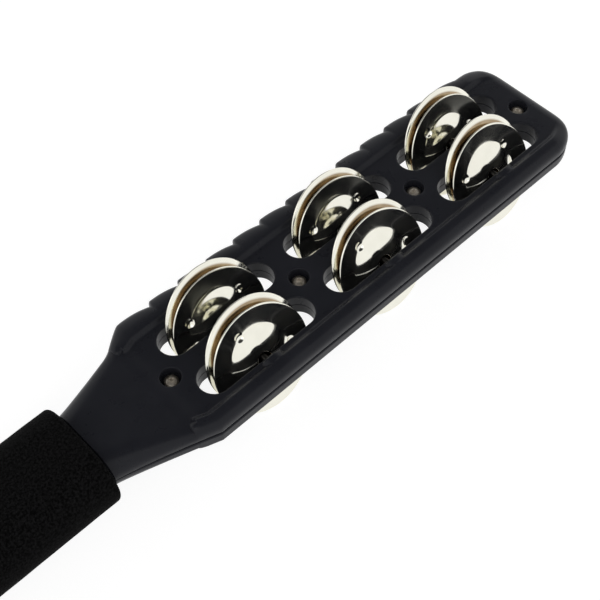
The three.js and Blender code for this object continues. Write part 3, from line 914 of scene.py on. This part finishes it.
def moulded_plastic():
    """Black moulded plastic: a faint blue tone, patchy gloss and the fine grain of a spark-eroded mould."""
    black = (0.0165, 0.0172, 0.0218)
    finish = Finish("moulded_plastic", color=black, metallic=0, roughness=0.3, specular=0.13)
    patches = finish.noise(scale=70, detail=4)
    color = finish.ramp(patches, low=(0.015, 0.0157, 0.02), high=(0.018, 0.0187, 0.0235))
    gloss = finish.ramp(finish.noise(scale=160, detail=5, roughness=0.6), low=0.26, high=0.34)
    grain = finish.bump(finish.noise(scale=5200, detail=2), strength=0.03, distance=0.05 * MM)
    swell = finish.bump(finish.noise(scale=420, detail=2), strength=0.012, distance=0.1 * MM, before=grain)
    return finish.wear(color=color, roughness=gloss, normal=swell)


def nickel_plate():
    """Bright nickel plate: warm white metal with slight polishing haze and a barely uneven sheet,
    with a painted brown shade on the inner faces of the pairs that stands in for the dim reflections between
    the discs."""
    finish = Finish("nickel_plate", color=(0.865, 0.85, 0.755), metallic=1, roughness=0.1)
    bright = finish.ramp(finish.noise(scale=240, detail=4), low=(0.85, 0.835, 0.74), high=(0.88, 0.865, 0.77))
    # Painted shade: the brown stands in for the dim reflections between the discs of a pair
    painted_brown_shade = finish.ramp(finish.noise(scale=320, detail=4), low=(0.34, 0.26, 0.17), high=(0.42, 0.33, 0.22))
    color = finish.blend(finish.attribute(PAINTED_SHADE_NAME), bright, painted_brown_shade)
    haze = finish.ramp(finish.noise(scale=900, detail=5, roughness=0.65), low=0.08, high=0.12)
    sheet = finish.bump(finish.noise(scale=260, detail=1), strength=0.01, distance=0.1 * MM)
    return finish.wear(color=color, roughness=haze, normal=sheet)


def plain_steel():
    """Zinc-plated steel: greyish cream, with a coarser haze and fine tool marks."""
    finish = Finish("plain_steel", color=(0.54, 0.48, 0.4), metallic=1, roughness=0.45)
    color = finish.ramp(finish.noise(scale=900, detail=4), low=(0.4, 0.35, 0.28), high=(0.68, 0.62, 0.53))
    haze = finish.ramp(finish.noise(scale=1600, detail=4), low=0.38, high=0.55)
    marks = finish.bump(finish.noise(scale=4200, detail=2), strength=0.12, distance=0.03 * MM)
    return finish.wear(color=color, roughness=haze, normal=marks)


def dark_steel():
    """Blackened steel with a dull sheen."""
    finish = Finish("dark_steel", color=(0.035, 0.033, 0.031), metallic=1, roughness=0.4)
    patches = finish.noise(scale=1100, detail=4)
    color = finish.ramp(patches, low=(0.024, 0.023, 0.022), high=(0.05, 0.047, 0.043))
    haze = finish.ramp(finish.noise(scale=1800, detail=3), low=0.34, high=0.5)
    return finish.wear(color=color, roughness=haze)


def closed_cell_foam():
    """Matt black foam: fine cells that catch a little light on their walls."""
    black = (0.004, 0.004, 0.0042)
    finish = Finish("closed_cell_foam", color=black, metallic=0, roughness=0.96, specular=0.08)
    speckle = finish.noise(scale=1500, detail=2, roughness=0.6)
    dark, light = (0.0003, 0.0003, 0.0003), (0.0085, 0.0084, 0.0087)
    color = finish.ramp(speckle, low=dark, high=light, low_at=0.39, high_at=0.67)
    cells = finish.bump(finish.cells(scale=1700), strength=0.5, distance=0.22 * MM)
    relief = finish.bump(speckle, strength=0.45, distance=0.15 * MM, before=cells)
    return finish.wear(color=color, normal=relief)


def seen_directly(tree):
    """1 for camera, glossy and transmission rays, else 0."""
    path = tree.nodes.new("ShaderNodeLightPath")
    total = path.outputs["Is Camera Ray"]
    for name in ("Is Glossy Ray", "Is Transmission Ray"):
        either = tree.nodes.new("ShaderNodeMath")
        either.operation = "MAXIMUM"
        tree.links.new(total, either.inputs[0])
        tree.links.new(path.outputs[name], either.inputs[1])
        total = either.outputs["Value"]
    return total


def floor_material():
    """Pale floor: a matt surface that takes shadow, with a glow that shows only to the eye and in metal."""
    material = bpy.data.materials.new("pale_floor")
    material.use_nodes = True
    tree = material.node_tree
    shader = tree.nodes["Principled BSDF"]
    shader.inputs["Base Color"].default_value = (FLOOR_GREY, FLOOR_GREY, FLOOR_GREY, 1)
    shader.inputs["Roughness"].default_value = FLOOR_ROUGHNESS
    shader.inputs["Specular IOR Level"].default_value = FLOOR_SPECULAR
    shader.inputs["Emission Color"].default_value = (1, 1, 1, 1)
    glow = tree.nodes.new("ShaderNodeMath")
    glow.operation = "MULTIPLY"
    glow.inputs[1].default_value = FLOOR_GLOW
    tree.links.new(seen_directly(tree), glow.inputs[0])
    tree.links.new(glow.outputs["Value"], shader.inputs["Emission Strength"])
    return material


def make_floor():
    """Flat floor under the stick."""
    corners = np.array([[-1, -1], [1, -1], [1, 1], [-1, 1]]) * FLOOR_SIZE / 2
    mesh = bpy.data.meshes.new("floor")
    mesh.from_pydata([(x, y, 0) for x, y in corners.tolist()], [], [(0, 1, 2, 3)])
    mesh.materials.append(floor_material())
    add_object("floor", mesh)


def make_world():
    """White surroundings under a dim ceiling: the strength falls in an eased step as the cosine of the angle
    from the ceiling's middle goes from its edge to its core."""
    world = bpy.data.worlds.new("studio")
    world.use_nodes = True
    tree = world.node_tree
    background = tree.nodes["Background"]
    way = tree.nodes.new("ShaderNodeTexCoord").outputs["Generated"]
    upward = tree.nodes.new("ShaderNodeVectorMath")
    upward.operation = "DOT_PRODUCT"
    upward.inputs[1].default_value = CEILING_WAY
    tree.links.new(way, upward.inputs[0])
    fade = tree.nodes.new("ShaderNodeMapRange")
    fade.interpolation_type = "SMOOTHSTEP"
    fade.inputs["From Min"].default_value = CEILING_EDGE
    fade.inputs["From Max"].default_value = CEILING_CORE
    fade.inputs["To Min"].default_value = SKY_BRIGHT
    fade.inputs["To Max"].default_value = SKY_DARK
    tree.links.new(upward.outputs["Value"], fade.inputs["Value"])
    tree.links.new(fade.outputs["Result"], background.inputs["Strength"])
    background.inputs["Color"].default_value = (1, 1, 1, 1)
    bpy.context.scene.world = world


def look_from(place, target, up):
    """Matrix of a camera or lamp at place that looks at target with up kept upright in its picture."""
    back = place - target
    back = back / np.linalg.norm(back)
    right = np.cross(up, back)
    right = right / np.linalg.norm(right)
    matrix = np.eye(4)
    matrix[:3, :3] = np.stack([right, np.cross(back, right), back], axis=-1)
    matrix[:3, 3] = place
    return Matrix(matrix.tolist())


def make_lamp():
    """Square soft lamp above the stick that faces its middle."""
    data = bpy.data.lights.new("overhead_softbox", "AREA")
    data.size = LAMP_SIZE
    data.energy = LAMP_POWER
    lamp = bpy.data.objects.new("overhead_softbox", data)
    bpy.context.scene.collection.objects.link(lamp)
    lamp.matrix_world = look_from(np.array(LAMP_PLACE), np.zeros(3), (0, 0, 1))


def make_camera():
    """Camera at the photograph's viewing angle."""
    data = bpy.data.cameras.new("camera")
    data.lens = CAMERA_LENS
    data.sensor_width = CAMERA_SENSOR
    data.clip_start = CAMERA_NEAR
    camera = bpy.data.objects.new("camera", data)
    bpy.context.scene.collection.objects.link(camera)
    camera.matrix_world = look_from(ORIGIN + CAMERA_PLACE, ORIGIN + CAMERA_TARGET, CAMERA_UP)
    bpy.context.scene.camera = camera


make_camera()
make_world()
make_floor()
make_lamp()

plastic, nickel = moulded_plastic(), nickel_plate()
steel, black_steel, foam = plain_steel(), dark_steel(), closed_cell_foam()
shell_piece("upper_moulding", 1, "top_shell", plastic)
shell_piece("lower_moulding", -1, "bottom_shell", plastic)
sleeve_piece(foam)
for screw_name, screw_x in zip(SCREW_NAMES, SCREW_X):
    screw_piece(screw_name, screw_x, steel)
for pin_name, pin_place in zip(PIN_NAMES, PIN_PLACES):
    pin_piece(pin_name, pin_place, black_steel)
for joint in frame["joints"]:
    jingle_piece(joint, nickel)

bpy.context.scene.view_settings.view_transform = "Standard"
